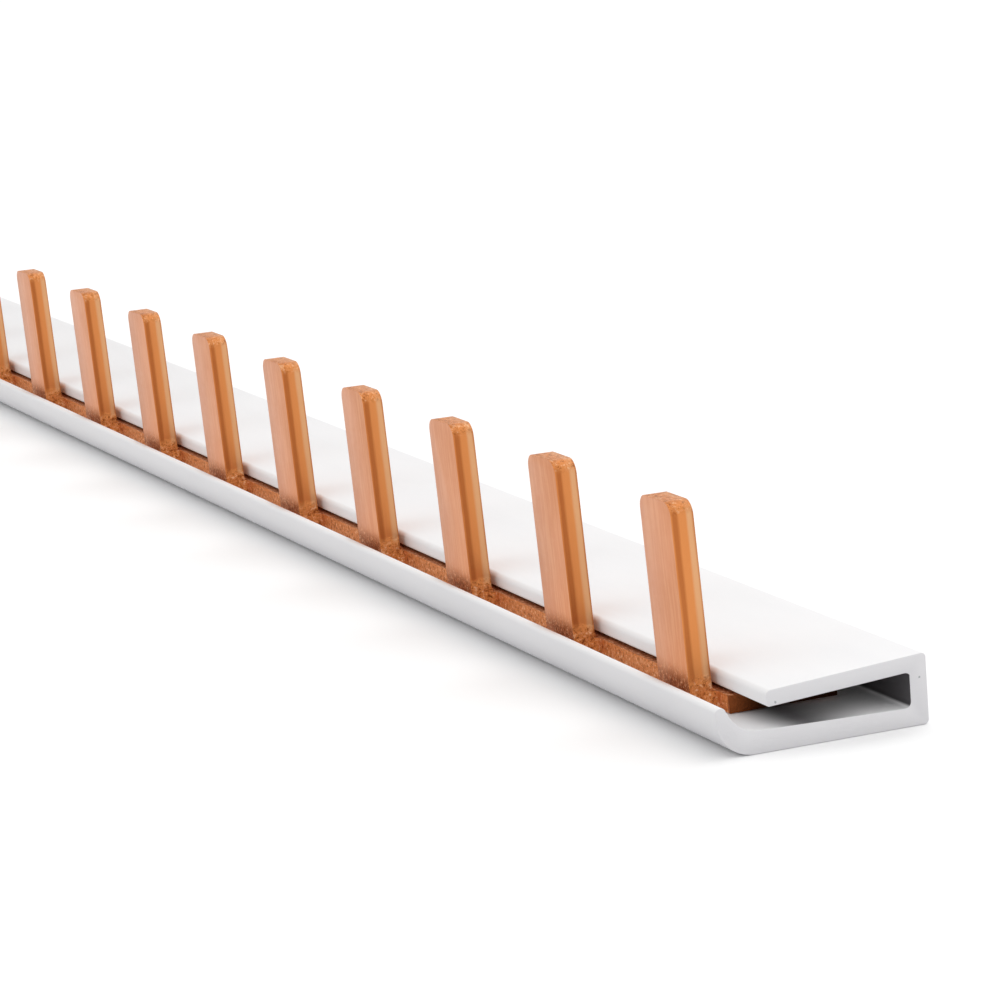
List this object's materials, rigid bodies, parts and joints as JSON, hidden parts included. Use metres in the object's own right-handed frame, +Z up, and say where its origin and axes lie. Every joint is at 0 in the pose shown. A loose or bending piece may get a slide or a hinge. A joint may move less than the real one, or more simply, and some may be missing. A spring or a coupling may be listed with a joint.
{
  "type": "comb busbar",
  "caption": "Straight single-pole pin comb busbar: a bent copper comb with upright flat teeth, its strip held in a white extruded C-shaped insulating profile with open, plain-cut ends.",
  "frame": {"origin": "centre of the bar's footprint, on the plane its web stands on", "axes": "+X along the bar; -Y towards the front lip, so +Y towards the closed back wall; +Z up, the way the teeth point"},
  "size_m": [0.2136, 0.014, 0.0143],
  "materials": {
    "copper": "bare rolled copper sheet, satin, with rough sheared edges",
    "white_pvc": "smooth extruded white PVC with a soft sheen"
  },
  "bodies": {
    "root": {"copper_comb": "copper", "insulating_profile": "white_pvc"}
  },
  "joints": []
}
